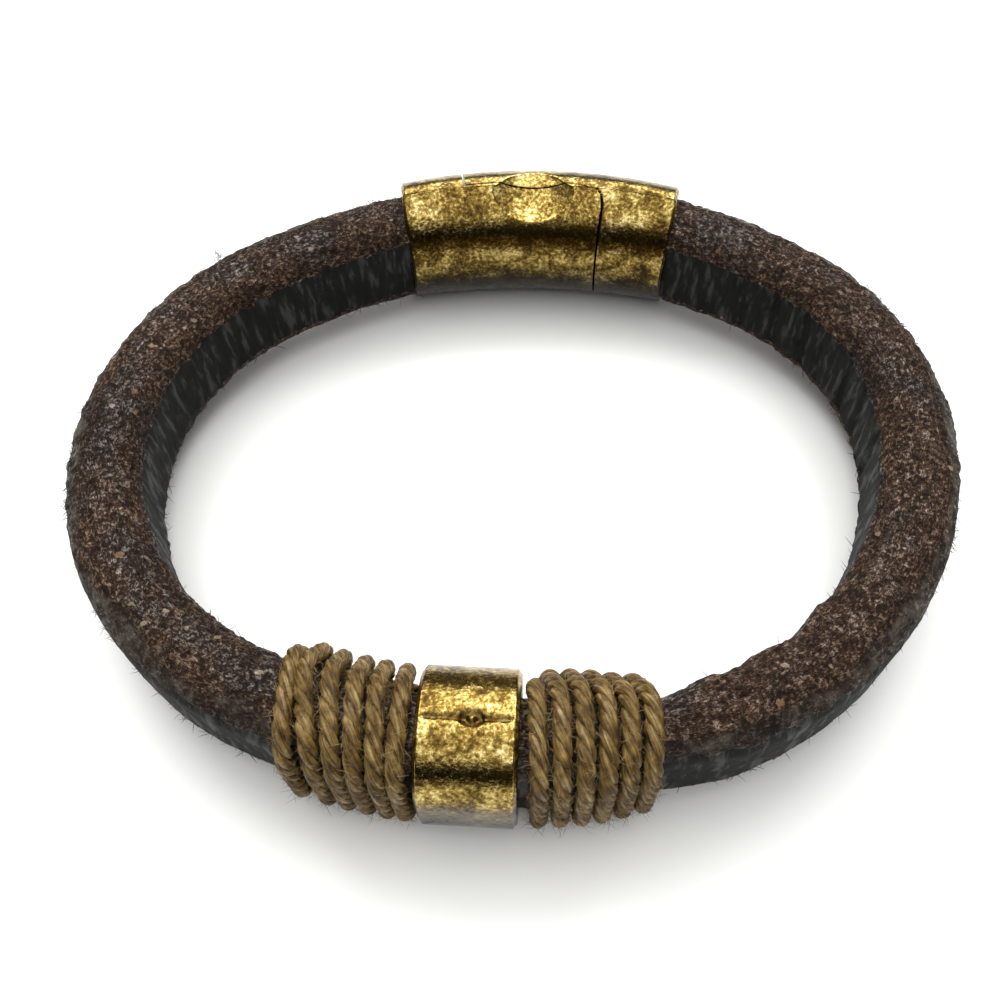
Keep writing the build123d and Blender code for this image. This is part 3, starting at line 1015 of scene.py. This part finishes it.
def tubeParts(path, radius, count, lengths, firstPoint):
    # rings of points along a path, with their faces and a map in metres
    sides, ups = carriedFrames(path)
    angles = 2 * np.pi * np.arange(count) / count
    cosines, sines = np.cos(angles)[None, :, None], np.sin(angles)[None, :, None]
    across = cosines * sides[:, None, :] + sines * ups[:, None, :]
    places = (path[:, None, :] + across * radius.reshape(-1, 1, 1)).reshape(-1, 3)
    faces = []
    for r in range(len(path) - 1):
        a, b = firstPoint + r * count, firstPoint + (r + 1) * count
        faces += [(a + k, a + (k + 1) % count, b + (k + 1) % count, b + k) for k in range(count)]
    faces.append(tuple(firstPoint + k for k in reversed(range(count))))
    faces.append(tuple(firstPoint + (len(path) - 1) * count + k for k in range(count)))
    return places, faces, np.repeat(lengths, count), np.tile(np.arange(count) / count, len(path))


def noiseAlong(lengths, row, seed):
    return np.array([noise.noise(Vector((length, row, seed))) for length in lengths])


def laidCord(name, node, seed):
    # three plies laid round the cord's middle line
    corners, radii = windingRoute(*windings[node])
    path, lengths = roundedPath(corners, radii, cord["step"])
    sides, ups = carriedFrames(path)
    places, faces, along, around, depth, total = [], [], [], [], [], 0
    for ply in range(3):
        wander = cord["plyWander"] * noiseAlong(lengths / 5.0, ply * 7.3, seed)
        swell = 1.0 + cord["plySwell"] * noiseAlong(lengths / 2.5, ply * 3.1, seed + 4)
        angle = -2 * np.pi * lengths / cord["lay"] + ply * 2 * np.pi / 3 + wander
        off = np.cos(angle)[:, None] * sides + np.sin(angle)[:, None] * ups
        centre = path + cord["plyOffset"] * off
        got = tubeParts(centre, cord["plyRadius"] * swell, cord["plySides"], lengths, total)
        places.append(got[0])
        faces += got[1]
        along.append(got[2])
        around.append(got[3] + ply)
        axis = np.repeat(path, cord["plySides"], axis=0)
        depth.append(np.linalg.norm(got[0] - axis, axis=1) / (cord["diameter"] / 2))
        total += len(got[0])
    mesh = bpy.data.meshes.new(name)
    places = np.concatenate(places)
    mesh.from_pydata([tuple(p * mm) for p in places], [], faces)
    piece = bpy.data.objects.new(name, mesh)
    scene.collection.objects.link(piece)
    writeAttribute(mesh, "outerness", np.clip(np.concatenate(depth), 0, 1))
    layer = mesh.uv_layers.new(name="plyMap")
    values = np.stack([np.concatenate(along) * mm, np.concatenate(around)], -1)[loopPoints(mesh)]
    layer.data.foreach_set("uv", values.ravel())
    return piece


def cordFinish():
    look = Finish("waxedCord")
    where = look.objectPlace()
    lie = look.make("ShaderNodeUVMap", {"uv_map": "plyMap"})
    strands = look.noise(look.stretch(lie, (420.0, 9.0, 1.0)), 1.0, 4.0, 0.65, 0.3)
    dirt = look.noise(where, 900.0, 4.0, 0.65)
    tan = look.make("ShaderNodeValToRGB", {"stops": [
        (0.36, (0.020, 0.0100, 0.0022)), (0.45, (0.072, 0.041, 0.0098)),
        (0.55, (0.165, 0.103, 0.029)), (0.66, (0.36, 0.260, 0.105)),
    ]}, {0: strands * 0.55 + dirt * 0.45})
    # painted shade: the cord is coloured near black where its plies dip in towards the middle, deep
    # between the plies where shade falls
    crownOutOfPaintedShade = look.ease(look.attribute("outerness"), 0.62, 0.98)
    colour = look.blend(crownOutOfPaintedShade, (0.010, 0.0042, 0.0009), tan)
    relief = strands * 0.7 + dirt * 0.3
    look.set(Base_Color=colour, Roughness=0.6, Normal=look.bump(relief, 0.8, 0.00014))
    look.set(Coat_Weight=crownOutOfPaintedShade * look.ease(strands, 0.45, 0.62) * 0.5)
    look.shader.inputs["Coat Roughness"].default_value = 0.35
    look.shader.inputs["Specular IOR Level"].default_value = 0.15
    return look.owner


cordMaterial = cordFinish()


def windCord(name, node, seed):
    piece = laidCord(name, node, seed)
    smoothShade(piece)
    return finishPiece(piece, cordMaterial, "cord", node)


waxedCordLeft = windCord("waxedCordLeft", "cord_wrap_left", 11)
waxedCordRight = windCord("waxedCordRight", "cord_wrap_right", 23)
print("cord wraps wound")

# loose fibres on the leather's cut edges and on the cords

fuzz = {
    "leather": {
        "count": 1500, "long": (0.35, 1.25), "thick": (0.018, 0.040), "lift": 0.55, "seed": 5,
        "border": (3.7, 0.35),  # height of the edge that frays most, and how far round it
        "outerShare": 5.0,
        "innerShare": 1.4,
        "bare": (17.5, 184.5),  # no fibres before the first and after the last station
    },
    "cord": {
        "count": 1700, "long": (0.30, 1.30), "thick": (0.012, 0.024), "lift": 0.30, "seed": 8,
        "outside": (11.0, -28.0),  # above this height or in front of this distance, hairs are many
        "insideShare": 0.15,
    },
    "tuft": {
        "count": 60, "long": (0.3, 1.0), "thick": (0.014, 0.026), "lift": 0.6,
        "station": 133.5, "out": 2.6, "up": 4.6, "spread": 0.16,
    },
}


def fibreModel():
    deselect()
    bpy.ops.mesh.primitive_uv_sphere_add(segments=3, ring_count=5, radius=1.0)
    model = bpy.context.object
    places = points(model.data)
    faces = [tuple(face.vertices) for face in model.data.polygons]
    bpy.data.objects.remove(model)
    return places, faces


def fibrePiece(name, roots, ways, settings, draw):
    # one bent, tapering fibre is copied to each root, leaning the given way
    model, faces = fibreModel()
    lift, places, allFaces = settings["lift"], [], []
    for root, way in zip(roots, ways):
        lean = np.array([draw.gauss(0, 1) for _ in range(3)])
        lean -= way * (lean @ way)
        side = np.cross(way, lean / np.linalg.norm(lean))
        along = way * lift + np.cross(side, way) * draw.uniform(0.5, 1.3)
        along /= np.linalg.norm(along)
        across = np.cross(along, side)
        size, thick = draw.uniform(*settings["long"]), draw.uniform(*settings["thick"])
        curl = side * draw.uniform(-0.35, 0.35) + across * draw.uniform(-0.25, 0.25)
        t = (model[:, 2:3] + 1) / 2
        taper = 1.15 - 0.75 * t
        body = root + along * (size * t - 0.08) + curl * size * t * t
        body = body + (side * model[:, 0:1] + across * model[:, 1:2]) * thick * taper
        allFaces += [tuple(v + len(places) * len(model) for v in face) for face in faces]
        places.append(body)
    mesh = bpy.data.meshes.new(name)
    mesh.from_pydata([tuple(p * mm) for p in np.concatenate(places)], [], allFaces)
    piece = bpy.data.objects.new(name, mesh)
    scene.collection.objects.link(piece)
    activate(piece)
    bpy.ops.object.mode_set(mode="EDIT")
    bpy.ops.mesh.select_all(action="SELECT")
    bpy.ops.mesh.normals_make_consistent(inside=False)
    bpy.ops.object.mode_set(mode="OBJECT")
    smoothShade(piece)
    return piece


def surfaceRoots(piece, weights, order, count, draw):
    # points of a piece, drawn by weight in the given order, with the way out at each
    normals = np.empty(len(piece.data.vertices) * 3)
    piece.data.vertices.foreach_get("normal", normals)
    chosen = order[draw.choices(range(len(weights)), weights=list(weights[order]), k=count)]
    return points(piece.data)[chosen] / mm, normals.reshape(-1, 3)[chosen]


def fibreFinish(name, dark, light):
    look = Finish(name)
    tint = look.noise(look.objectPlace(), 900.0, 3.0, 0.6)
    look.set(Base_Color=look.blend(look.ease(tint, 0.40, 0.62), dark, light), Roughness=0.6)
    look.shader.inputs["Specular IOR Level"].default_value = 0.25
    return look.owner


def addNap(draw):
    nap = fuzz["leather"]
    s, around = readMap(leatherStrap.data)
    outward, up = sectionPlaces(around, strapRound)
    height, reach = nap["border"]
    border = np.exp(-(((np.abs(up) - height) / reach) ** 2))
    border *= np.where(outward > 0, nap["outerShare"], nap["innerShare"])
    station = np.mod(s, ringLength)
    bare = (station > nap["bare"][1]) | (station < nap["bare"][0])
    level = np.zeros(len(s))
    patches = 0.4 + (noiseAt(ringPlace(s, level, level), 5.0, 2, 61.0) > 0.1) * 1.6
    weights = (border + 0.5 * (np.abs(up) > 4)) * ~bare * patches
    order = np.lexsort((np.round(around, 2), np.round(s, 2)))  # spun points come in any order
    roots, ways = surfaceRoots(leatherStrap, weights, order, nap["count"], draw)
    piece = fibrePiece("leatherNap", roots, ways, nap, draw)
    finish = fibreFinish("leatherNapFinish", (0.012, 0.007, 0.005), (0.085, 0.055, 0.035))
    finishPiece(piece, finish, "leather")


def addLint(draw):
    tuft = fuzz["tuft"]
    centre = ringPlace(*[np.array([tuft[key]]) for key in ("station", "out", "up")])
    spread = [[draw.gauss(0, tuft["spread"]) for _ in range(3)] for _ in range(tuft["count"])]
    spread = np.array(spread)
    ways = spread / np.linalg.norm(spread, axis=1)[:, None]
    piece = fibrePiece("lintTuft", centre + spread, ways, tuft, draw)
    finish = fibreFinish("lintFinish", (0.010, 0.008, 0.007), (0.06, 0.045, 0.035))
    finishPiece(piece, finish, "leather")


def addCordHairs(piece, draw):
    hairs = fuzz["cord"]
    outer = np.empty(len(piece.data.vertices), dtype=np.float32)
    piece.data.attributes["outerness"].data.foreach_get("value", outer)
    places = points(piece.data) / mm
    outside = (places[:, 2] > hairs["outside"][0]) | (places[:, 1] < hairs["outside"][1])
    weights = (outer > 0.9) * (hairs["insideShare"] + outside)
    roots, ways = surfaceRoots(piece, weights, np.arange(len(weights)), hairs["count"], draw)
    tufts = fibrePiece(piece.name + "Hairs", roots, ways, hairs, draw)
    finish = fibreFinish(piece.name + "HairFinish", (0.14, 0.09, 0.035), (0.36, 0.27, 0.14))
    finishPiece(tufts, finish, "cord")


leatherDraw = random.Random(fuzz["leather"]["seed"])
addNap(leatherDraw)
addLint(leatherDraw)
cordDraw = random.Random(fuzz["cord"]["seed"])
for cordPiece in (waxedCordLeft, waxedCordRight):
    addCordHairs(cordPiece, cordDraw)
print("loose fibres added")
